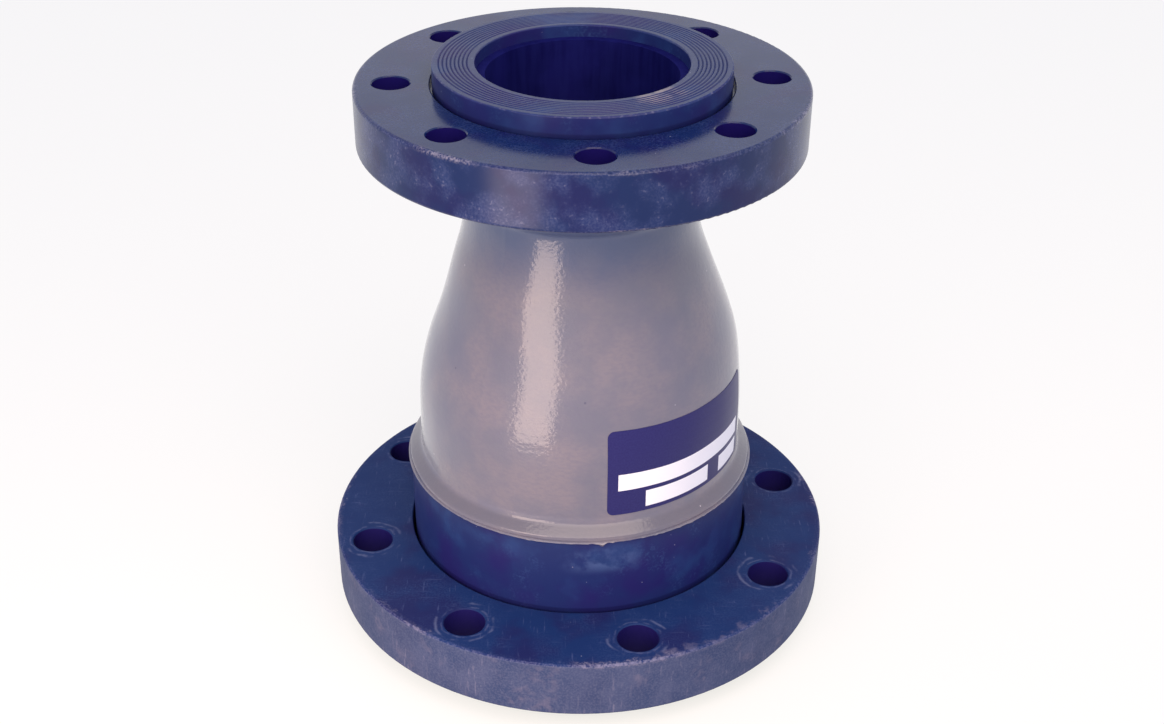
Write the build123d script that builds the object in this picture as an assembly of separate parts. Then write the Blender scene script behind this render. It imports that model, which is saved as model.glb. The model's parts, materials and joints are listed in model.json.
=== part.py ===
from build123d import *
import os
from math import atan2, hypot, tan

# A concentric reducer with a loose backing ring at each end, standing on its large end.
# Millimetres. The origin is the centre of the large gasket face, and +Z runs along the
# flow axis to the small gasket face.

# Whole fitting: gasket face to gasket face
overall_length = 317.5

# Large end: 6 inch pipe size, class 150 bolting. The bolt offset is how far the bolt
# circle lies outside the middle of the ring's band, here at 241.3 mm across.
large_pipe_diameter = 168.3
large_pipe_wall = 10.97
large_hub_wall = 10.35
large_hub_length = 92.0
large_shoulder_step = 10.4
large_shoulder_stand = 12.7
large_spigot_stop = 8.0
large_groove_count = 9
large_ring_diameter = 279.4
large_ring_thickness = 33.4
large_bolt_offset = 2.7
large_bolt_hole = 22.2
large_bolt_count = 8
large_ring_turn = 15.2

# Small end: 4 inch pipe size, class 150 bolting, with its bolt circle 190.5 mm across
small_pipe_diameter = 114.3
small_pipe_wall = 8.56
small_hub_wall = 8.5
small_hub_length = 62.5
small_shoulder_step = 9.15
small_shoulder_stand = 10.2
small_spigot_stop = 6.5
small_groove_count = 8
small_ring_diameter = 228.6
small_ring_thickness = 29.7
small_bolt_offset = 4.425
small_bolt_hole = 19.05
small_bolt_count = 8
small_ring_turn = 3.7

# Bell between the two pipe runs, on the core's outer skin. The corners are where the
# straight runs would meet, and each is measured from the gasket face of its own end.
bell_corner_height = 150.7
throat_corner_depth = 86.8
bell_round = 145.5
throat_round = 64.5

# Each round may take this much of the cone between the two corners.
round_share = 0.45

# Glass-fibre overwrap
wrap_wall = 4.45
lap_wall = 4.0
lip_stand = 0.6
lip_height = 2.4
shelf_rise = 7.4
shelf_round = 7.0
lip_round = 1.1
lap_foot_drop = 4.5
lap_crown_rise = 3.5
lap_round = 6.0

# Fits and clearances
bond_gap = 0.1
stop_step = 3.65
ring_slip = 1.6
recess_slip = 1.2
recess_nest = 3.0
seat_gap = 0.3

# Gasket grooves, cut into each hub's face
groove_pitch = 2.0
groove_width = 1.1
groove_depth = 0.55
groove_rim = 3.5

# Edges
ring_edge_round = 1.6
ring_bore_round = 0.8
bolt_hole_bevel = 0.6
face_edge_round = 0.8
spigot_bevel = 1.5

# Sizes that follow from those above
large_pipe_radius = large_pipe_diameter / 2
small_pipe_radius = small_pipe_diameter / 2
large_socket_radius = large_pipe_radius + bond_gap
small_socket_radius = small_pipe_radius + bond_gap
large_barrel_radius = large_socket_radius + large_hub_wall
small_barrel_radius = small_socket_radius + small_hub_wall
small_hub_end = overall_length - small_hub_length
small_ring_back = overall_length - small_shoulder_stand - small_ring_thickness
throat_corner_height = overall_length - throat_corner_depth
bell_fall = large_pipe_radius - small_pipe_radius
bell_run = throat_corner_height - bell_corner_height
corner_slip = tan(atan2(bell_fall, bell_run) / 2)
longest_round = round_share * hypot(bell_fall, bell_run) / corner_slip


def turned(rows):
    """A solid turned about the Z axis from rows of radius, height and corner round."""
    corners = [(radius, height) for radius, height, _ in rows]
    rounds = [corner_round for _, _, corner_round in rows]
    outline = FilletPolyline(*corners, radius=rounds, close=True)
    return revolve(Plane.XZ * make_face(outline), Axis.Z)


def bell_rows(large_offset, small_offset):
    """The bell's two corners on a skin that lies outside the core's skin by the offsets."""
    bell = (
        large_pipe_radius + large_offset,
        bell_corner_height + large_offset * corner_slip,
        min(bell_round, longest_round) + large_offset,
    )
    throat = (
        small_pipe_radius + small_offset,
        throat_corner_height + small_offset * corner_slip,
        min(throat_round, longest_round) - small_offset,
    )
    return [bell, throat]


def groove_rows(shoulder_radius, count):
    """Concentric V grooves in a gasket face at height zero, from the innermost outwards."""
    outermost = shoulder_radius - groove_rim
    rows = []
    for place in reversed(range(count)):
        centre = outermost - place * groove_pitch
        rows += [
            (centre - groove_width / 2, 0, 0),
            (centre, groove_depth, 0),
            (centre + groove_width / 2, 0, 0),
        ]
    return rows


def socket_hub(pipe_radius, barrel_radius, length, shoulder_step, shoulder_stand, stop, groove_count):
    """A hub whose grooved gasket face lies at height zero and whose socket opens upwards."""
    socket_radius = pipe_radius + bond_gap
    bore_radius = pipe_radius - stop_step
    shoulder_radius = barrel_radius + shoulder_step
    shoulder_back = shoulder_stand + recess_nest
    return turned(
        [
            (bore_radius, 0, face_edge_round),
            *groove_rows(shoulder_radius, groove_count),
            (shoulder_radius, 0, face_edge_round),
            (shoulder_radius, shoulder_back, 0),
            (barrel_radius, shoulder_back, 0),
            (barrel_radius, length, 0),
            (socket_radius, length, 0),
            (socket_radius, stop, 0),
            (bore_radius, stop, 0),
        ]
    )


def bolt_cutter(hole_radius, thickness):
    """What drills a bolt hole through a ring and bevels it at both faces."""
    flare_radius = hole_radius + 2 * bolt_hole_bevel
    return turned(
        [
            (0, -bolt_hole_bevel, 0),
            (flare_radius, -bolt_hole_bevel, 0),
            (hole_radius, bolt_hole_bevel, 0),
            (hole_radius, thickness - bolt_hole_bevel, 0),
            (flare_radius, thickness + bolt_hole_bevel, 0),
            (0, thickness + bolt_hole_bevel, 0),
        ]
    )


def backing_ring(diameter, thickness, barrel_radius, shoulder_step, bolt_offset, bolt_hole, bolt_count):
    """A loose bolting ring, with the recess for the hub's shoulder in its face at height zero."""
    bore_radius = barrel_radius + ring_slip
    recess_radius = barrel_radius + shoulder_step + recess_slip
    recess_depth = recess_nest + seat_gap
    bolt_circle_radius = (bore_radius + diameter / 2) / 2 + bolt_offset
    ring = turned(
        [
            (recess_radius, 0, ring_bore_round),
            (diameter / 2, 0, ring_edge_round),
            (diameter / 2, thickness, ring_edge_round),
            (bore_radius, thickness, ring_bore_round),
            (bore_radius, recess_depth, 0),
            (recess_radius, recess_depth, 0),
        ]
    )
    cutter = bolt_cutter(bolt_hole / 2, thickness)
    for place in PolarLocations(bolt_circle_radius, bolt_count):
        ring -= place * cutter
    return ring


def reducer_core():
    """The pipe-walled bell, from the stop in the large hub up to the stop in the small one."""
    foot = large_spigot_stop
    crown = overall_length - small_spigot_stop
    large_bore_radius = large_pipe_radius - large_pipe_wall
    small_bore_radius = small_pipe_radius - small_pipe_wall
    inside = bell_rows(-large_pipe_wall, -small_pipe_wall)
    return turned(
        [
            (large_pipe_radius - spigot_bevel, foot, 0),
            (large_pipe_radius, foot + spigot_bevel, 0),
            *bell_rows(0, 0),
            (small_pipe_radius, crown - spigot_bevel, 0),
            (small_pipe_radius - spigot_bevel, crown, 0),
            (small_bore_radius, crown, 0),
            *reversed(inside),
            (large_bore_radius, foot, 0),
        ]
    )


def glass_overwrap():
    """The overwrap, from the large hub's end face up over the small hub to its ring."""
    foot = large_hub_length
    crown = small_ring_back - seat_gap
    lip_radius = large_barrel_radius + lip_stand
    lap_inside = small_barrel_radius + bond_gap
    lap_outside = lap_inside + lap_wall
    inside = bell_rows(bond_gap, bond_gap)
    return turned(
        [
            (lip_radius, foot, 0),
            (lip_radius, foot + lip_height, lip_round),
            (large_pipe_radius + wrap_wall, foot + shelf_rise, shelf_round),
            *bell_rows(wrap_wall, wrap_wall),
            (small_pipe_radius + wrap_wall, small_hub_end - lap_foot_drop, lap_round),
            (lap_outside, small_hub_end + lap_crown_rise, lap_round),
            (lap_outside, crown, 0),
            (lap_inside, crown, 0),
            (lap_inside, small_hub_end, 0),
            (small_socket_radius, small_hub_end, 0),
            *reversed(inside),
            (large_socket_radius, foot, 0),
        ]
    )


# The small end's pieces are made face down and turned over onto the top of the bell.
upside_down = Pos(0, 0, overall_length) * Rot(180, 0, 0)

large_hub = socket_hub(
    large_pipe_radius,
    large_barrel_radius,
    large_hub_length,
    large_shoulder_step,
    large_shoulder_stand,
    large_spigot_stop,
    large_groove_count,
)
small_hub = upside_down * socket_hub(
    small_pipe_radius,
    small_barrel_radius,
    small_hub_length,
    small_shoulder_step,
    small_shoulder_stand,
    small_spigot_stop,
    small_groove_count,
)
large_ring = (
    Rot(0, 0, large_ring_turn)
    * Pos(0, 0, large_shoulder_stand)
    * backing_ring(
        large_ring_diameter,
        large_ring_thickness,
        large_barrel_radius,
        large_shoulder_step,
        large_bolt_offset,
        large_bolt_hole,
        large_bolt_count,
    )
)
small_ring = (
    Rot(0, 0, small_ring_turn)
    * upside_down
    * Pos(0, 0, small_shoulder_stand)
    * backing_ring(
        small_ring_diameter,
        small_ring_thickness,
        small_barrel_radius,
        small_shoulder_step,
        small_bolt_offset,
        small_bolt_hole,
        small_bolt_count,
    )
)

pieces = {
    "large_hub": large_hub,
    "large_ring": large_ring,
    "reducer_core": reducer_core(),
    "glass_overwrap": glass_overwrap(),
    "small_hub": small_hub,
    "small_ring": small_ring,
}

os.makedirs("parts", exist_ok=True)
for name, piece in pieces.items():
    export_step(piece, f"parts/{name}.step")
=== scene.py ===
import json
from math import cos, exp, pi, radians, sin, sqrt

import bmesh
import bpy
from mathutils import Matrix, Vector, noise


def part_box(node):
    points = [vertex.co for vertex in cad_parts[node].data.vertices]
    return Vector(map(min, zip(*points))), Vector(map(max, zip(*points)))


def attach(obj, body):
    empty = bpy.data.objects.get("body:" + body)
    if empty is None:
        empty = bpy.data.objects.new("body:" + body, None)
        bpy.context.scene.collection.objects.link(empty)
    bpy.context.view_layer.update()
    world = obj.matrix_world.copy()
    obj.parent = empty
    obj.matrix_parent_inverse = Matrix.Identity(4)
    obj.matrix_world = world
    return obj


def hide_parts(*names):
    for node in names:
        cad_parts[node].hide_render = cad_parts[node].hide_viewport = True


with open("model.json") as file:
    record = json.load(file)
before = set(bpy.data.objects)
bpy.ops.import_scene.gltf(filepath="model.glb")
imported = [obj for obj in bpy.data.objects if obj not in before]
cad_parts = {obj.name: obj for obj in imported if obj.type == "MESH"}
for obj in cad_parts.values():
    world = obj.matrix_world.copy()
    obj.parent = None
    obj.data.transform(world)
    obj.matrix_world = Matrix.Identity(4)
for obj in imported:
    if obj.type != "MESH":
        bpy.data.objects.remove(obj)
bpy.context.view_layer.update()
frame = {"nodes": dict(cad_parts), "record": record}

# Lengths in this file are metres unless a name ends in _mm. Azimuth 0 is the viewer's side,
# and azimuth grows towards +X, which is the viewer's right.
MM = 0.001

# The photo's frame in pixels, and where the lens axis meets it.
FRAME_WIDTH = 1164
FRAME_HEIGHT = 724
AXIS_COLUMN = 576
AXIS_ROW = 431

# The camera that was fitted to the rings and bolt holes.
FOCAL_PIXELS = 1656.2
SENSOR_WIDTH_MM = 36.0
CAMERA_PLACE = (0.0, -0.7900, 0.6033)
CAMERA_DOWN = radians(32.508)
CAMERA_YAW = radians(-0.119)
CAMERA_ROLL = radians(-0.508)

# A colour mix names its sockets alike for each type, so they are picked by number.
SHARE = 0
FIRST = 6
SECOND = 7
COLOURS = {"data_type": "RGBA", "output": 2}
SOFT_STEP = {"interpolation_type": "SMOOTHSTEP"}


def linear(code):
    """A colour written as an sRGB hex code, as linear red, green, blue and alpha."""
    channels = [int(code[place : place + 2], 16) / 255 for place in (1, 3, 5)]
    spread = [c / 12.92 if c <= 0.04045 else ((c + 0.055) / 1.055) ** 2.4 for c in channels]
    return (*spread, 1.0)


def per_mm(size_mm):
    """The texture scale at which one repeat is that many millimetres long."""
    return 1 / (size_mm * MM)


def add(tree, kind, inputs=None, output=0, **settings):
    """Adds a node with its settings and links, and gives the output that was asked for."""
    made = tree.nodes.new(kind)
    for name, value in settings.items():
        setattr(made, name, value)
    for socket, value in (inputs or {}).items():
        if isinstance(value, bpy.types.NodeSocket):
            tree.links.new(value, made.inputs[socket])
        else:
            made.inputs[socket].default_value = value
    return made.outputs[output] if made.outputs else None


def material(name):
    """A new material with an empty node tree, as the material and its tree."""
    made = bpy.data.materials.new(name)
    made.use_nodes = True
    made.node_tree.nodes.clear()
    return made, made.node_tree


class Surface:
    """Where a surface point lies, for a material's patterns: its place, radius and height, how
    far it faces up or down, and its azimuth."""

    def __init__(self, tree):
        self.place = add(tree, "ShaderNodeTexCoord", output="Object")
        parts = add(tree, "ShaderNodeSeparateXYZ", {"Vector": self.place}).node.outputs
        self.height = parts["Z"]
        flat = {0: self.place, 1: (1, 1, 0)}
        self.flat = add(tree, "ShaderNodeVectorMath", flat, operation="MULTIPLY")
        self.radius = add(tree, "ShaderNodeVectorMath", {0: self.flat}, "Value", operation="LENGTH")
        away = add(tree, "ShaderNodeMath", {0: parts["Y"], 1: -1.0}, operation="MULTIPLY")
        self.azimuth = add(tree, "ShaderNodeMath", {0: parts["X"], 1: away}, operation="ARCTAN2")
        normal = add(tree, "ShaderNodeNewGeometry", output="Normal")
        self.upward = add(tree, "ShaderNodeSeparateXYZ", {"Vector": normal}, "Z")
        self.level = add(tree, "ShaderNodeMath", {0: self.upward}, operation="ABSOLUTE")


def between(tree, value, low, high, soft):
    """1 where a value lies from low to high, and 0 beyond, with soft ends of that width."""
    rise = {"Value": value, "From Min": low - soft, "From Max": low + soft}
    fall = {"Value": value, "From Min": high + soft, "From Max": high - soft}
    rising = add(tree, "ShaderNodeMapRange", rise, **SOFT_STEP)
    falling = add(tree, "ShaderNodeMapRange", fall, **SOFT_STEP)
    return add(tree, "ShaderNodeMath", {0: rising, 1: falling}, operation="MULTIPLY")


def mottle(tree, place, size_mm, low, high, detail=3.0, stretch=(1.0, 1.0, 1.0), turn=(0.0, 0.0, 0.0)):
    """Patches of that many millimetres: 0 where the noise is under low, and 1 where it is over
    high. A stretch under 1 draws them out along an axis, which the turn swings round first."""
    drawn = {"Vector": place, "Rotation": turn, "Scale": stretch}
    cloud = {"Vector": add(tree, "ShaderNodeMapping", drawn), "Scale": per_mm(size_mm), "Detail": detail}
    spread = {"Value": add(tree, "ShaderNodeTexNoise", cloud), "From Min": low, "From Max": high}
    return add(tree, "ShaderNodeMapRange", spread, **SOFT_STEP)


# How far a speck's edge fades to each side, as a share of its radius.
SPECK_FADE = 0.2


def specks(tree, place, spacing_mm, size_mm):
    """Round specks up to that size, strewn at about that spacing."""
    cells = {"Vector": place, "Scale": per_mm(spacing_mm)}
    gap = add(tree, "ShaderNodeTexVoronoi", cells, "Distance")
    reach = size_mm / spacing_mm / 2
    spread = {"Value": gap, "From Min": reach * (1 + SPECK_FADE), "From Max": reach * (1 - SPECK_FADE)}
    return add(tree, "ShaderNodeMapRange", spread, **SOFT_STEP)


def painted(tree, base, *layers):
    """A colour with layers laid over it in turn, each a colour and the masks whose product is
    the layer's share."""
    for colour, *masks in layers:
        share = masks[0]
        for mask in masks[1:]:
            share = add(tree, "ShaderNodeMath", {0: share, 1: mask}, operation="MULTIPLY")
        base = add(tree, "ShaderNodeMix", {SHARE: share, FIRST: base, SECOND: linear(colour)}, **COLOURS)
    return base


def hole_distance(tree, surface, opening_name):
    """How far a point lies from the axis of the nearest bolt hole with that name in the record."""
    nearest = None
    for opening in frame["record"]["physics"]["openings"]:
        if opening["name"].startswith(opening_name):
            low, high = opening["box_m"]
            axis = ((low[0] + high[0]) / 2, (low[1] + high[1]) / 2, 0)
            gap = {0: surface.flat, 1: axis}
            far = add(tree, "ShaderNodeVectorMath", gap, "Value", operation="DISTANCE")
            if nearest is None:
                nearest = far
            else:
                nearest = add(tree, "ShaderNodeMath", {0: nearest, 1: far}, operation="MINIMUM")
    return nearest


# How far inside a ring's outer radius its rim and outer edges begin, and are there in full.
RIM_START_MM = 4
RIM_FULL_MM = 2.5


def ring_zones(tree, surface, node):
    """Masks on a backing ring: its rim, its outer edges, the walls of its holes and its faces."""
    rim_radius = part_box(node)[1].x
    start = rim_radius - RIM_START_MM * MM
    outer = {"Value": surface.radius, "From Min": start, "From Max": rim_radius - RIM_FULL_MM * MM}
    outer = add(tree, "ShaderNodeMapRange", outer, **SOFT_STEP)
    upright = {"Value": surface.level, "From Min": 0.6, "From Max": 0.3}
    upright = add(tree, "ShaderNodeMapRange", upright, **SOFT_STEP)
    rim = add(tree, "ShaderNodeMath", {0: upright, 1: outer}, operation="MULTIPLY")
    walls = add(tree, "ShaderNodeMath", {0: upright, 1: rim}, operation="SUBTRACT")
    slant = between(tree, surface.level, 0.25, 0.95, 0.1)
    edge = add(tree, "ShaderNodeMath", {0: slant, 1: outer}, operation="MULTIPLY")
    faces = {"Value": surface.level, "From Min": 0.85, "From Max": 0.98}
    return rim, edge, walls, add(tree, "ShaderNodeMapRange", faces, **SOFT_STEP)


# How far below a ring's top a rub on it starts, and is there in full.
RUB_START_MM = 3
RUB_FULL_MM = 1


def rubbed_edge(tree, surface, node, width_mm):
    """A ragged band where a ring's top is rubbed beside its outer edge."""
    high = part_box(node)[1]
    stray = {0: mottle(tree, surface.place, 7, 0.3, 0.7, detail=5), 1: width_mm * MM, 2: surface.radius}
    strayed = add(tree, "ShaderNodeMath", stray, operation="MULTIPLY_ADD")
    band = {"Value": strayed, "From Min": high.x, "From Max": high.x + 0.5 * width_mm * MM}
    start = high.z - RUB_START_MM * MM
    top = {"Value": surface.height, "From Min": start, "From Max": high.z - RUB_FULL_MM * MM}
    band = add(tree, "ShaderNodeMapRange", band, **SOFT_STEP)
    top = add(tree, "ShaderNodeMapRange", top, **SOFT_STEP)
    return add(tree, "ShaderNodeMath", {0: band, 1: top}, operation="MULTIPLY")


# Two washers left worn prints round each hole of the large ring, by radius from its axis.
INNER_PRINT_MM = (13.2, 13.8)
INNER_PRINT_SOFT_MM = 0.7
OUTER_PRINT_MM = (16.2, 17.2)
OUTER_PRINT_SOFT_MM = 0.9
PRINT_WANDER_MM = 1.6

# The large ring's top is rubbed beside its outer edge, and wider where it was dragged.
LARGE_RUB_MM = 5.5
DRAGGED_RUB_MM = 9
DRAG_START = radians(16)
DRAG_END = radians(52)
DRAG_SOFT = radians(7)


def ring_pvc_scuffed():
    """PVC, compression moulded and then bolted up and handled: a dry navy face, rims rubbed to a
    grey bloom, nicked pale edges and the prints of old washers round the holes."""
    made, tree = material("pvc_moulded_scuffed")
    surface = Surface(tree)
    place = surface.place
    rim, edge, walls, faces = ring_zones(tree, surface, "large_ring")
    reach = hole_distance(tree, surface, "large_bolt_hole")
    wander = {0: mottle(tree, place, 9, 0.2, 0.8), 1: PRINT_WANDER_MM * MM, 2: reach}
    ragged = add(tree, "ShaderNodeMath", wander, operation="MULTIPLY_ADD")
    inner, outer = (radius * MM for radius in INNER_PRINT_MM)
    inner_print = between(tree, ragged, inner, outer, INNER_PRINT_SOFT_MM * MM)
    inner, outer = (radius * MM for radius in OUTER_PRINT_MM)
    outer_print = between(tree, ragged, inner, outer, OUTER_PRINT_SOFT_MM * MM)
    printed = mottle(tree, place, 13, 0.5, 0.64, detail=3)
    worn = mottle(tree, place, 5, 0.42, 0.62, detail=5)
    # The real grain is too fine to show here, so it is drawn as coarse grit, 1.1 mm across.
    grit = mottle(tree, place, 1.1, 0.35, 0.75, detail=3)
    bloom = mottle(tree, place, 18, 0.35, 0.7, detail=5)
    dropped = mottle(tree, place, 55, 0.5, 0.62, detail=2)
    rubbed = rubbed_edge(tree, surface, "large_ring", LARGE_RUB_MM)
    dragged = rubbed_edge(tree, surface, "large_ring", DRAGGED_RUB_MM)
    drag_side = between(tree, surface.azimuth, DRAG_START, DRAG_END, DRAG_SOFT)
    scraped = mottle(tree, place, 1.6, 0.58, 0.72, 3, (1.0, 1.0, 0.16), (0.0, 0.5, 0.0))
    scores = mottle(tree, place, 1.2, 0.6, 0.76, 2, (1.0, 0.08, 1.0), (0.0, 0.0, 0.6))
    rubs = mottle(tree, place, 1.4, 0.6, 0.76, 2, (0.1, 1.0, 1.0), (0.0, 0.0, 0.5))
    navy = painted(
        tree,
        linear("#172f60"),
        ("#1c2355", mottle(tree, place, 30, 0.42, 0.66)),
        ("#374b77", faces, grit, bloom, 0.45),
        ("#5f6a92", faces, scores, worn, 0.35),
        ("#5f6a92", faces, rubs, bloom, 0.3),
        ("#7b83a4", faces, inner_print, worn, 0.4),
        ("#8188a6", faces, outer_print, printed, 0.5),
        ("#434f70", rim, 0.75),
        ("#626885", rim, bloom, 0.4),
        ("#6c718a", rim, grit, 0.4),
        ("#857d8e", rim, mottle(tree, place, 16, 0.5, 0.72, detail=6), worn, 0.35),
        ("#918d9f", rim, scraped, bloom, 0.45),
        ("#7f7b8f", rubbed, grit, dropped, 0.9),
        ("#77738a", dragged, drag_side, mottle(tree, place, 4, 0.35, 0.7, detail=3), 0.45),
        ("#8f8b9e", edge, dropped, mottle(tree, place, 1.8, 0.4, 0.7, detail=4), 0.6),
        ("#6f7394", edge, grit, 0.5),
        ("#b9bac8", specks(tree, place, 13, 0.7), 0.5),
        # Painted shade: the walls of the holes and bore are dark violet.
        ("#1d1658", walls, 1.0),
    )
    dents = add(tree, "ShaderNodeMath", {0: grit, 1: worn}, operation="ADD")
    bump = add(tree, "ShaderNodeBump", {"Height": dents, "Distance": 0.06 * MM, "Strength": 0.5})
    inputs = {
        "Base Color": navy,
        "Roughness": 0.6,
        "IOR": 1.53,
        "Specular IOR Level": 0.15,
        "Normal": bump,
    }
    add(tree, "ShaderNodeOutputMaterial", {"Surface": add(tree, "ShaderNodeBsdfPrincipled", inputs)})
    return made


# The small ring's top is rubbed in a narrower band. Its face is smooth, and duller under dust
# and on the rim.
SMALL_RUB_MM = 3
SMOOTH_ROUGHNESS = 0.14
DUSTY_ROUGHNESS = 0.24


def ring_pvc_glossed():
    """PVC, moulded against a polished plate: a navy face that mirrors what is near it, under a
    thin film of dust, with a scuffed rim."""
    made, tree = material("pvc_moulded_glossed")
    surface = Surface(tree)
    place = surface.place
    rim, edge, walls, faces = ring_zones(tree, surface, "small_ring")
    # The film's dust is too fine to show here, so it is drawn as coarse grit, 1.1 mm across.
    grit = mottle(tree, place, 1.1, 0.35, 0.75, detail=3)
    film = mottle(tree, place, 24, 0.35, 0.65, detail=5)
    scuff = mottle(tree, place, 16, 0.4, 0.7, detail=6)
    nicks = mottle(tree, place, 2, 0.6, 0.72, detail=4)
    dropped = mottle(tree, place, 45, 0.5, 0.6, detail=2)
    navy = painted(
        tree,
        linear("#0d2353"),
        ("#12184f", mottle(tree, place, 26, 0.45, 0.65)),
        ("#45557f", faces, grit, film, 0.4),
        ("#2c3d6e", rim, scuff, 0.5),
        ("#5c6488", rim, scuff, grit, 0.35),
        ("#7f8098", rim, nicks, scuff, 0.4),
        ("#99949f", edge, dropped, mottle(tree, place, 1.8, 0.45, 0.75, detail=4), 0.6),
        ("#666b8c", edge, grit, 0.4),
        ("#8f8b99", rubbed_edge(tree, surface, "small_ring", SMALL_RUB_MM), grit, dropped, 0.7),
        ("#b9bac8", specks(tree, place, 12, 0.6), 0.5),
        # Painted shade: the walls of the holes and bore are dark violet.
        ("#1c1558", walls, 1.0),
    )
    dusty = {"Value": grit, "To Min": SMOOTH_ROUGHNESS, "To Max": DUSTY_ROUGHNESS}
    dusty = add(tree, "ShaderNodeMapRange", dusty)
    dull = {"Value": rim, "To Min": dusty, "To Max": DUSTY_ROUGHNESS}
    bump = add(tree, "ShaderNodeBump", {"Height": grit, "Distance": 0.02 * MM, "Strength": 0.4})
    inputs = {
        "Base Color": navy,
        "Roughness": add(tree, "ShaderNodeMapRange", dull),
        "IOR": 1.53,
        "Specular IOR Level": 0.25,
        "Normal": bump,
    }
    add(tree, "ShaderNodeOutputMaterial", {"Surface": add(tree, "ShaderNodeBsdfPrincipled", inputs)})
    return made


# Painted shade darkens where a hub passes into its ring, from below the ring's top to above it.
JOINT_SHADE_BELOW_MM = 2
JOINT_SHADE_ABOVE_MM = 1.6
JOINT_SHADE_SOFT_MM = 0.6

# The shoulder's corner is rubbed, from inside the shoulder's radius to beyond it.
CORNER_INSIDE_MM = 1.2
CORNER_BEYOND_MM = 1
CORNER_SOFT_MM = 0.3

# A pale smear under the overwrap's lip, on the large hub's barrel.
SMEAR_START = radians(-2)
SMEAR_END = radians(17)
SMEAR_SIDE_SOFT = radians(6)
SMEAR_FOOT_MM = 74
SMEAR_TOP_MM = 86
SMEAR_SOFT_MM = 5

# A painted highlight lies tan on the small gasket face along one stretch, on its inner part.
TAN_START = radians(27)
TAN_END = radians(50)
TAN_SIDE_SOFT = radians(8)
TAN_START_MM = 70
TAN_FULL_MM = 62


def hub_pvc_satin(node):
    """PVC, injection moulded: navy, with the low sheen that a polished mould leaves, and the
    pale rubs of handling at its corners."""
    made, tree = material("pvc_moulded_satin_" + node)
    surface = Surface(tree)
    place = surface.place
    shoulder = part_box(node)[1].x
    ring_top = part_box(node.replace("hub", "ring"))[1].z
    low = ring_top - JOINT_SHADE_BELOW_MM * MM
    joint_shade = between(tree, surface.height, low, ring_top + JOINT_SHADE_ABOVE_MM * MM, JOINT_SHADE_SOFT_MM * MM)
    inside = shoulder - CORNER_INSIDE_MM * MM
    beyond = shoulder + CORNER_BEYOND_MM * MM
    rounded = between(tree, surface.radius, inside, beyond, CORNER_SOFT_MM * MM)
    # The real grain is too fine to show here, so it is drawn as coarse grit, 1.4 mm across.
    grit = mottle(tree, place, 1.4, 0.45, 0.72, detail=3)
    rub = mottle(tree, place, 20, 0.52, 0.72, detail=5)
    faces = {"Value": surface.upward, "From Min": 0.8, "From Max": 0.95}
    faces = add(tree, "ShaderNodeMapRange", faces, **SOFT_STEP)
    corner = between(tree, surface.upward, 0.3, 0.9, 0.1)
    smear = between(tree, surface.azimuth, SMEAR_START, SMEAR_END, SMEAR_SIDE_SOFT)
    foot, top = SMEAR_FOOT_MM * MM, SMEAR_TOP_MM * MM
    below_lip = between(tree, surface.height, foot, top, SMEAR_SOFT_MM * MM)
    glint_side = between(tree, surface.azimuth, TAN_START, TAN_END, TAN_SIDE_SOFT)
    inner_face = {"Value": surface.radius, "From Min": TAN_START_MM * MM, "From Max": TAN_FULL_MM * MM}
    inner_face = add(tree, "ShaderNodeMapRange", inner_face, **SOFT_STEP)
    navy = painted(
        tree,
        linear("#1f2c60"),
        ("#251e5d", mottle(tree, place, 34, 0.4, 0.66), 0.8),
        ("#2a4678", mottle(tree, place, 26, 0.5, 0.72), 0.6),
        ("#3c5282", grit, rub, 0.5),
        ("#4f6390", smear, below_lip, mottle(tree, place, 9, 0.35, 0.6, detail=5), 0.75),
        ("#3b445f", faces, 0.6),
        ("#525b79", faces, grit, 0.35),
        # A painted highlight: a tan glint on the small gasket face, along one stretch.
        ("#aa9b93", faces, glint_side, inner_face, mottle(tree, place, 7, 0.38, 0.6, detail=5), 0.65),
        ("#8d8a9c", corner, rounded, mottle(tree, place, 2.4, 0.5, 0.8, detail=4), 0.5),
        ("#b5b6c6", specks(tree, place, 12, 0.6), 0.5),
        # Painted shade where the hub passes into its ring.
        ("#0f0b3a", joint_shade, 0.5),
    )
    bump = add(tree, "ShaderNodeBump", {"Height": grit, "Distance": 0.03 * MM, "Strength": 0.4})
    inputs = {
        "Base Color": navy,
        "Roughness": 0.38,
        "IOR": 1.53,
        "Specular IOR Level": 0.2,
        "Normal": bump,
    }
    add(tree, "ShaderNodeOutputMaterial", {"Surface": add(tree, "ShaderNodeBsdfPrincipled", inputs)})
    return made


def bore_pvc():
    """PVC, extruded and then formed to the bell: navy, darkened as painted shade in the bore, and dull
    from the forming oven.
    """
    made, tree = material("pvc_extruded_dull")
    surface = Surface(tree)
    haze = mottle(tree, surface.place, 24, 0.35, 0.65, detail=4)
    drawn = mottle(tree, surface.place, 3, 0.3, 0.7, 3, (1.0, 1.0, 0.1))
    # The navy base is painted shade: darker than the hubs', as the bore lies in shade.
    navy = painted(tree, linear("#10104a"), ("#18185a", haze), ("#1e2162", drawn, 0.4))
    bump = add(tree, "ShaderNodeBump", {"Height": drawn, "Distance": 0.03 * MM, "Strength": 0.4})
    inputs = {
        "Base Color": navy,
        "Roughness": 0.7,
        "IOR": 1.53,
        "Specular IOR Level": 0.03,
        "Normal": bump,
    }
    add(tree, "ShaderNodeOutputMaterial", {"Surface": add(tree, "ShaderNodeBsdfPrincipled", inputs)})
    return made


# Painted shade darkens the overwrap's shelf, between these heights.
SHELF_FOOT_MM = 94
SHELF_TOP_MM = 99
SHELF_SOFT_MM = 1.5

# Painted shade darkens the resin to navy towards the throat, under the small ring, from the first height
# to the second, in runs.
THROAT_SHADE_START_MM = 216
THROAT_SHADE_FULL_MM = 256
THROAT_SHADE_WANDER_MM = 10

# This moves the pattern of the dark pits off that of the pale specks.
PIT_SHIFT = (0.37, 0.19, 0.53)


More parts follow.
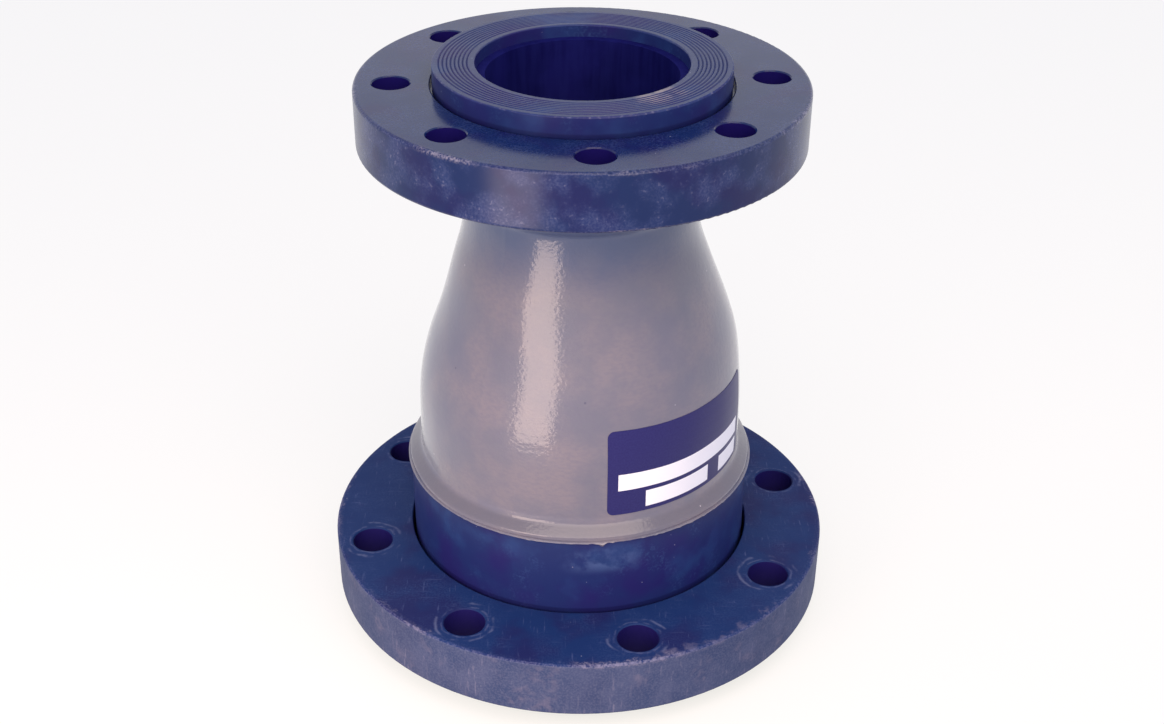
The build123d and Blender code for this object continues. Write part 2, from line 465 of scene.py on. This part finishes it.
def resin_brushed():
    """Polyester resin, brushed over wound glass: grey-lilac, with a wet-looking flow coat that
    mirrors the lamps in streaks with ragged ends, warm and cool clouds where the coat is thicker
    or thinner, painted shade that darkens it to navy towards the throat, under the small ring,
    painted shade on the shelf, and a few pits and stuck specks."""
    made, tree = material("resin_brushed_over_glass")
    surface = Surface(tree)
    place = surface.place
    cloud = mottle(tree, place, 30, 0.35, 0.65, detail=4)
    # Glass fibres and brush hairs are too fine to show here, so both are drawn coarser.
    fibre = mottle(tree, place, 1.5, 0.35, 0.7, 2, (0.5, 0.5, 1.0))
    dark_pits = add(tree, "ShaderNodeVectorMath", {0: place, 1: PIT_SHIFT}, operation="ADD")
    foot, top = SHELF_FOOT_MM * MM, SHELF_TOP_MM * MM
    shelf_shade = between(tree, surface.height, foot, top, SHELF_SOFT_MM * MM)
    runs = {0: cloud, 1: THROAT_SHADE_WANDER_MM * MM, 2: surface.height}
    runs = add(tree, "ShaderNodeMath", runs, operation="MULTIPLY_ADD")
    throat_shade = {"Value": runs, "From Min": THROAT_SHADE_START_MM * MM, "From Max": THROAT_SHADE_FULL_MM * MM}
    throat_shade = add(tree, "ShaderNodeMapRange", throat_shade, **SOFT_STEP)
    grey = painted(
        tree,
        linear("#6a6978"),
        ("#7b737c", cloud),
        ("#5f6278", mottle(tree, place, 48, 0.48, 0.66, detail=5), 0.6),
        ("#686578", fibre, 0.4),
        # Painted shade: navy towards the throat, under the small ring.
        ("#274370", throat_shade, 0.8),
        # Painted shade on the shelf.
        ("#5a5561", shelf_shade, 0.75),
        ("#c3b8bd", specks(tree, place, 17, 0.9), 0.6),
        ("#4a4663", specks(tree, dark_pits, 23, 1.2), 0.7),
    )
    strokes = mottle(tree, place, 2.4, 0.2, 0.8, 4, (0.3, 0.3, 1.0))
    ripple = mottle(tree, place, 2.0, 0.2, 0.8, 3)
    both = add(tree, "ShaderNodeMath", {0: strokes, 1: 0.4, 2: ripple}, operation="MULTIPLY_ADD")
    bump = add(tree, "ShaderNodeBump", {"Height": both, "Distance": 0.1 * MM, "Strength": 0.6})
    inputs = {
        "Base Color": grey,
        "Roughness": 0.42,
        "IOR": 1.55,
        "Specular IOR Level": 0.3,
        "Coat Weight": 1.0,
        "Coat Roughness": 0.05,
        "Coat IOR": 1.5,
        "Normal": bump,
        "Coat Normal": bump,
    }
    add(tree, "ShaderNodeOutputMaterial", {"Surface": add(tree, "ShaderNodeBsdfPrincipled", inputs)})
    return made


# How near to a plane a point counts as on it, and how far its normal has to lean to one side
# to count as facing it.
ON_PLANE = 1e-6
FACING = 0.05


def outline(node, outward):
    """A turned node's skin where it meets the half plane y = 0, as rows of height and radius."""
    rows = set()
    for vertex in frame["nodes"][node].data.vertices:
        on_plane = abs(vertex.co.y) < ON_PLANE and vertex.co.x > 0
        if on_plane and vertex.normal.x * outward > FACING:
            rows.add((round(vertex.co.z, 6), round(vertex.co.x, 6)))
    return sorted(rows)


def radius_at(rows, height):
    """The radius on an outline at a height, on straight lines between its rows."""
    for (low, low_radius), (high, high_radius) in zip(rows, rows[1:]):
        if height <= high:
            share = (height - low) / (high - low) if high > low else 1.0
            return low_radius + (high_radius - low_radius) * min(max(share, 0.0), 1.0)
    return rows[-1][1]


# The overwrap was wound and brushed by hand, so its sections wander from the true axis.
SKIN_SEGMENTS = 500
SKIN_STEP_MM = 1.6
LEAN_MM = 2.2
LEAN_HEIGHT_MM = 181
LEAN_SPREAD_MM = 26
BROAD_WAVE_MM = 42
BROAD_DEPTH_MM = 0.5
CLOSE_WAVE_MM = 13
CLOSE_DEPTH_MM = 0.12
STROKE_DRAWN = 0.5

# All of that fades out over the last stretch below the small ring, which has to turn freely.
RING_CLEAR_MM = 6

# A crease runs round just above the shelf, where the last turn of cloth was pressed home.
CREASE_HEIGHT_MM = 99.0
CREASE_WANDER_MM = 1.2
CREASE_SHIFT = Vector((7, 0, 0))
CREASE_WIDTH_MM = 1.1
CREASE_DEPTH_MM = 0.55
CREASE_TOP_MM = 107
CREASE_STEP_MM = 0.6

# The cloth's lap shows as a faint ridge up the left of the bell.
LAP_AZIMUTH = radians(-37)
LAP_FOOT_MM = 140
LAP_WIDTH_MM = 1.6
LAP_DEPTH_MM = 0.22

# Resin gathered in a low swell on the cone, left of the front, which draws the gloss aside.
SWELL_AZIMUTH = radians(-29)
SWELL_HEIGHT_MM = 207
SWELL_WIDTH_MM = 13
SWELL_LENGTH_MM = 24
SWELL_DEPTH_MM = 0.95


def hand_laid(azimuth, height, radius, top):
    """How far the hand-laid skin stands outside its true turned form at a place."""
    height_mm = height / MM
    lean = LEAN_MM * exp(-(((height_mm - LEAN_HEIGHT_MM) / LEAN_SPREAD_MM) ** 2)) * sin(azimuth)
    place = Vector((radius * sin(azimuth), -radius * cos(azimuth), height))
    broad = noise.noise(place * per_mm(BROAD_WAVE_MM)) * BROAD_DEPTH_MM
    strokes = Vector((place.x, place.y, place.z * STROKE_DRAWN))
    close = noise.noise(strokes * per_mm(CLOSE_WAVE_MM)) * CLOSE_DEPTH_MM
    wander = noise.noise(place * per_mm(BROAD_WAVE_MM) + CREASE_SHIFT) * CREASE_WANDER_MM
    below_mm = height_mm - CREASE_HEIGHT_MM - wander
    crease = CREASE_DEPTH_MM * exp(-((below_mm / CREASE_WIDTH_MM) ** 2))
    across_mm = (azimuth - LAP_AZIMUTH) * radius / MM
    lap = LAP_DEPTH_MM * exp(-((across_mm / LAP_WIDTH_MM) ** 2)) if height_mm > LAP_FOOT_MM else 0
    aside_mm = (azimuth - SWELL_AZIMUTH) * radius / MM
    along = (height_mm - SWELL_HEIGHT_MM) / SWELL_LENGTH_MM
    swell = SWELL_DEPTH_MM * exp(-((aside_mm / SWELL_WIDTH_MM) ** 2) - along**2)
    fade = min(max((top - height) / (RING_CLEAR_MM * MM), 0), 1)
    return (lean + broad + close - crease + lap + swell) * MM * fade


def skin_heights(rows):
    """Heights for rings of points: the outline's own rows, and even steps between them, which
    are closer near the crease."""
    heights = [rows[0][0]]
    for (low, _), (high, _) in zip(rows, rows[1:]):
        step_mm = CREASE_STEP_MM if low < CREASE_TOP_MM * MM else SKIN_STEP_MM
        count = max(1, round((high - low) / (step_mm * MM)))
        heights += [low + (high - low) * step / count for step in range(1, count + 1)]
    return heights


def link(name, mesh, finish):
    """An object made from a mesh, in the scene, with its finish."""
    mesh.materials.append(finish)
    made = bpy.data.objects.new(name, mesh)
    bpy.context.scene.collection.objects.link(made)
    return made


# Faces that meet at more than this keep a sharp corner between them.
SHARP_ANGLE = radians(50)


def mesh_of(name, shape):
    """The mesh of a built shape, smooth but for its sharp corners."""
    mesh = bpy.data.meshes.new(name)
    shape.to_mesh(mesh)
    shape.free()
    mesh.set_sharp_from_angle(angle=SHARP_ANGLE)
    return mesh


def closed_shell(name, loops):
    """A mesh between closed loops of points, joined each to the next and the last to the first."""
    count = len(loops[0])
    shape = bmesh.new()
    rings = [[shape.verts.new(point) for point in loop] for loop in loops]
    for below, above in zip(rings, rings[1:] + rings[:1]):
        for step in range(count):
            after = (step + 1) % count
            face = shape.faces.new((below[step], below[after], above[after], above[step]))
            face.smooth = True
    bmesh.ops.recalc_face_normals(shape, faces=shape.faces)
    return mesh_of(name, shape)


def wound_overwrap(outer, finish):
    """The overwrap as laid by hand: a closed shell on the turned node's inner and outer skins."""
    top = outer[-1][0]
    turns = [2 * pi * step / SKIN_SEGMENTS for step in range(SKIN_SEGMENTS)]
    loops = []
    for height in skin_heights(outer):
        true_radius = radius_at(outer, height)
        radii = [true_radius + hand_laid(turn - pi, height, true_radius, top) for turn in turns]
        loops.append([(-r * sin(turn), r * cos(turn), height) for r, turn in zip(radii, turns)])
    for height, radius in reversed(outline("glass_overwrap", -1)):
        loops.append([(-radius * sin(turn), radius * cos(turn), height) for turn in turns])
    piece = link("wound_overwrap", closed_shell("wound_overwrap", loops), finish)
    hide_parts("glass_overwrap")
    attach(piece, "reducer")


# Resin ran out under the lip and set on the hub in a ragged bead, with a drip at the front.
BEAD_SEGMENTS = 720
BEAD_REACH_MM = 0.55
BEAD_RAGGED_MM = 1.3
BEAD_WAVE_MM = 3.2
BEAD_SLOW_MM = 0.5
BEAD_LEAST_MM = 0.15
BEAD_STAND_MM = 0.5
BEAD_STAND_SHARE = 0.55
DRIP_AZIMUTH = radians(7.5)
DRIP_WIDTH_MM = 1.6
DRIP_LENGTH_MM = 2.4

# The bead's back is sunk into the barrel and its top rises behind the lip, so no gap shows.
BEAD_SUNK_MM = 0.05
BEAD_INSET_MM = 0.02
BEAD_RISE_MM = 0.4
BARREL_BELOW_MM = 10


def resin_bead(outer, finish):
    """The bead of resin that hangs from the lip's corner onto the hub's barrel."""
    foot, lip_radius = outer[0]
    barrel_radius = radius_at(outline("large_hub", 1), foot - BARREL_BELOW_MM * MM)
    back = barrel_radius - BEAD_SUNK_MM * MM
    behind_lip = lip_radius - BEAD_INSET_MM * MM
    front = barrel_radius + BEAD_STAND_MM * MM
    top = Vector((0, 0, foot + BEAD_RISE_MM * MM))
    loops = [[], [], [], []]
    for step in range(BEAD_SEGMENTS):
        azimuth = 2 * pi * step / BEAD_SEGMENTS - pi
        ray = Vector((sin(azimuth), -cos(azimuth), 0))
        wave = noise.noise(ray * lip_radius * per_mm(BEAD_WAVE_MM))
        slow = noise.noise(ray * lip_radius * per_mm(BROAD_WAVE_MM))
        across_mm = (azimuth - DRIP_AZIMUTH) * lip_radius / MM
        drip = DRIP_LENGTH_MM * exp(-((across_mm / DRIP_WIDTH_MM) ** 2))
        reach = (BEAD_REACH_MM + max(wave, 0) * BEAD_RAGGED_MM + slow * BEAD_SLOW_MM + drip) * MM
        reach = max(reach, BEAD_LEAST_MM * MM)
        loops[0].append(ray * back + top)
        loops[1].append(ray * behind_lip + top)
        loops[2].append(ray * front + Vector((0, 0, foot - reach * BEAD_STAND_SHARE)))
        loops[3].append(ray * back + Vector((0, 0, foot - reach)))
    piece = link("resin_bead", closed_shell("resin_bead", loops), finish)
    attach(piece, "reducer")


# The label is vinyl, about four inches by two, stuck level just above the overwrap's shelf.
LABEL_WIDTH_MM = 103.0
LABEL_HEIGHT_MM = 49.8
LABEL_FOOT_MM = 103.6
LABEL_START = radians(9.5)
LABEL_CORNER_MM = 3.6
LABEL_THICK_MM = 0.2
LABEL_LIFT_MM = 0.05
LABEL_COLUMNS = 110
LABEL_ROWS = 40
CORNER_STEPS = 8

# Blank white fields, as left, right, low and high on the label, and how soft their edges are.
LABEL_FIELDS_MM = (
    (5.7, 97.1, 14.7, 24.6),
    (21.0, 63.4, 2.4, 12.2),
    (74.2, 97.1, 2.0, 11.7),
)
FIELD_EDGE_MM = 0.12

# The label's own map is in millimetres, so this is a pattern one millimetre across on it.
LABEL_GRAIN = 1 / MM


def vinyl_printed():
    """Vinyl, screen printed navy, with blank white fields for typing on."""
    made, tree = material("vinyl_screen_printed")
    place = add(tree, "ShaderNodeUVMap", uv_map="label_mm")
    parts = add(tree, "ShaderNodeSeparateXYZ", {"Vector": place}).node.outputs
    grain = mottle(tree, place, LABEL_GRAIN, 0.3, 0.7)
    ink = painted(tree, linear("#221d5c"), ("#2b2a68", grain, 0.6))
    for left, right, low, high in LABEL_FIELDS_MM:
        columns = between(tree, parts["X"], left, right, FIELD_EDGE_MM)
        rows = between(tree, parts["Y"], low, high, FIELD_EDGE_MM)
        ink = painted(tree, ink, ("#ffffff", columns, rows))
    inputs = {
        "Base Color": ink,
        "Roughness": 0.36,
        "IOR": 1.5,
        "Specular IOR Level": 0.3,
    }
    add(tree, "ShaderNodeOutputMaterial", {"Surface": add(tree, "ShaderNodeBsdfPrincipled", inputs)})
    return made


def label_inset(row_mm):
    """How far the label's rounded corners bring in its two ends at a height on it."""
    short = max(LABEL_CORNER_MM - row_mm, row_mm - (LABEL_HEIGHT_MM - LABEL_CORNER_MM), 0)
    return LABEL_CORNER_MM - sqrt(max(LABEL_CORNER_MM**2 - short**2, 0))


def label_rows():
    """Heights on the label for its lines of points, closer together in its rounded corners."""
    turns = [pi / 2 * step / CORNER_STEPS for step in range(CORNER_STEPS + 1)]
    low = [LABEL_CORNER_MM * (1 - cos(turn)) for turn in turns]
    high = [LABEL_HEIGHT_MM - row for row in reversed(low)]
    middle = (high[0] - low[-1]) / LABEL_ROWS
    return low + [low[-1] + middle * step for step in range(1, LABEL_ROWS)] + high


def label_side(shape, outer, lift_mm, flat):
    """One side of the label, that far off the overwrap's skin, as rows of points with the faces
    between them. It notes each point's place on the flat label."""
    top = outer[-1][0]
    grid = []
    for row in label_rows():
        height = (LABEL_FOOT_MM + row) * MM
        true_radius = radius_at(outer, height)
        length = LABEL_WIDTH_MM - 2 * label_inset(row)
        line = []
        for column in range(LABEL_COLUMNS + 1):
            across = label_inset(row) + length * column / LABEL_COLUMNS
            azimuth = LABEL_START + across * MM / true_radius
            radius = true_radius + hand_laid(azimuth, height, true_radius, top) + lift_mm * MM
            vertex = shape.verts.new((radius * sin(azimuth), -radius * cos(azimuth), height))
            flat[vertex] = (across, row)
            line.append(vertex)
        grid.append(line)
    for below, above in zip(grid, grid[1:]):
        for column in range(LABEL_COLUMNS):
            shape.faces.new((below[column], below[column + 1], above[column + 1], above[column]))
    return grid


def label_border(grid):
    """The points round one side of the label, in order."""
    right = [line[-1] for line in grid[1:]]
    left = [line[0] for line in grid[-2:0:-1]]
    return grid[0] + right + grid[-1][-2::-1] + left


def vinyl_label(outer):
    """The label: a thin sheet that follows the overwrap's skin, with rounded corners."""
    shape = bmesh.new()
    uv_layer = shape.loops.layers.uv.new("label_mm")
    flat = {}
    under = label_border(label_side(shape, outer, LABEL_LIFT_MM, flat))
    over = label_border(label_side(shape, outer, LABEL_LIFT_MM + LABEL_THICK_MM, flat))
    for place in range(len(under)):
        after = (place + 1) % len(under)
        shape.faces.new((under[place], under[after], over[after], over[place]))
    bmesh.ops.recalc_face_normals(shape, faces=shape.faces)
    for face in shape.faces:
        face.smooth = True
        for loop in face.loops:
            loop[uv_layer].uv = flat[loop.vert]
    piece = link("label", mesh_of("label", shape), vinyl_printed())
    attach(piece, "reducer")


def dress(node, finish):
    """Gives a node of the frame its real finish."""
    slots = frame["nodes"][node].data.materials
    slots.clear()
    slots.append(finish)


resin_finish = resin_brushed()
dress("large_ring", ring_pvc_scuffed())
dress("small_ring", ring_pvc_glossed())
dress("large_hub", hub_pvc_satin("large_hub"))
dress("small_hub", hub_pvc_satin("small_hub"))
dress("reducer_core", bore_pvc())
skin = outline("glass_overwrap", 1)
wound_overwrap(skin, resin_finish)
resin_bead(skin, resin_finish)
vinyl_label(skin)


def seen_by_camera_or_gloss(tree):
    """1 for the camera's rays and for those of gloss and glass, which see the background."""
    light = add(tree, "ShaderNodeLightPath").node.outputs
    gloss = {0: light["Is Glossy Ray"], 1: light["Is Transmission Ray"]}
    gloss = add(tree, "ShaderNodeMath", gloss, operation="MAXIMUM")
    both = {0: light["Is Camera Ray"], 1: gloss}
    return add(tree, "ShaderNodeMath", both, operation="MAXIMUM")


# The floor's half width, and how much it is lifted towards white where it is seen.
FLOOR_HALF = 6.0
FLOOR_LIFT = 0.76


def pale_floor():
    """A wide plain pale floor. The camera and the gloss see it near white, and it keeps the
    object's shadow."""
    made, tree = material("floor_paper")
    seen = seen_by_camera_or_gloss(tree)
    lift = add(tree, "ShaderNodeMath", {0: seen, 1: FLOOR_LIFT}, operation="MULTIPLY")
    sheet = {SHARE: seen, FIRST: linear("#bcb8b6"), SECOND: linear("#8f8d8c")}
    paper = add(tree, "ShaderNodeBsdfDiffuse", {"Color": add(tree, "ShaderNodeMix", sheet, **COLOURS)})
    shine = add(tree, "ShaderNodeEmission", {"Color": linear("#fffdf6"), "Strength": lift})
    lit = add(tree, "ShaderNodeAddShader", {0: paper, 1: shine})
    add(tree, "ShaderNodeOutputMaterial", {"Surface": lit})
    mesh = bpy.data.meshes.new("floor")
    corners = [(x * FLOOR_HALF, y * FLOOR_HALF, 0) for x, y in ((-1, -1), (1, -1), (1, 1), (-1, 1))]
    mesh.from_pydata(corners, [], [(0, 1, 2, 3)])
    link("floor", mesh, made)


def studio_world():
    """A cool soft fill, behind a white that the camera and the gloss see."""
    world = bpy.data.worlds.new("studio")
    world.use_nodes = True
    tree = world.node_tree
    tree.nodes.clear()
    fill = add(tree, "ShaderNodeBackground", {"Color": linear("#c6d0fa"), "Strength": 0.82})
    white = add(tree, "ShaderNodeBackground", {"Color": linear("#ffffff"), "Strength": 1.0})
    seen = seen_by_camera_or_gloss(tree)
    shown = add(tree, "ShaderNodeMixShader", {0: seen, 1: fill, 2: white})
    add(tree, "ShaderNodeOutputWorld", {"Surface": shown})
    bpy.context.scene.world = world


def softbox(name, azimuth, elevation, distance, width, height, brightness, colour, target):
    """A soft panel lamp that looks at a target from that side, by its brightness as seen from
    there."""
    lamp = bpy.data.lights.new(name, "AREA")
    lamp.shape = "RECTANGLE"
    lamp.size = width
    lamp.size_y = height
    lamp.energy = brightness * pi * width * height
    lamp.color = linear(colour)[:3]
    placed = bpy.data.objects.new(name, lamp)
    level = cos(elevation)
    away = Vector((sin(azimuth) * level, -cos(azimuth) * level, sin(elevation)))
    placed.location = Vector(target) + away * distance
    placed.rotation_euler = (-away).to_track_quat("-Z", "Y").to_euler()
    placed.visible_camera = False
    bpy.context.scene.collection.objects.link(placed)


def photo_camera():
    """The camera at the photo's angle, with the small shift that its framing needs."""
    camera = bpy.data.cameras.new("photo_camera")
    camera.sensor_width = SENSOR_WIDTH_MM
    camera.lens = FOCAL_PIXELS / FRAME_WIDTH * SENSOR_WIDTH_MM
    camera.shift_x = (FRAME_WIDTH / 2 - AXIS_COLUMN) / FRAME_WIDTH
    camera.shift_y = (AXIS_ROW - FRAME_HEIGHT / 2) / FRAME_WIDTH
    camera.clip_start = 0.05
    camera.clip_end = 30
    placed = bpy.data.objects.new("photo_camera", camera)
    turn = (
        Matrix.Rotation(pi / 2 - CAMERA_DOWN, 3, "X")
        @ Matrix.Rotation(-CAMERA_YAW, 3, "Y")
        @ Matrix.Rotation(-CAMERA_ROLL, 3, "Z")
    )
    placed.rotation_euler = turn.to_euler()
    placed.location = CAMERA_PLACE
    bpy.context.scene.collection.objects.link(placed)
    bpy.context.scene.camera = placed


pale_floor()
studio_world()
softbox(
    "key",
    azimuth=radians(12),
    elevation=radians(48),
    distance=1.6,
    width=1.6,
    height=1.6,
    brightness=2.6,
    colour="#ffebda",
    target=(0, 0, 0.15),
)
softbox(
    "strip",
    azimuth=radians(-29),
    elevation=radians(5),
    distance=0.5,
    width=0.2,
    height=0.46,
    brightness=5.2,
    colour="#ffe2cf",
    target=(0, 0, 0.18),
)
photo_camera()
bpy.context.scene.view_settings.view_transform = "Standard"
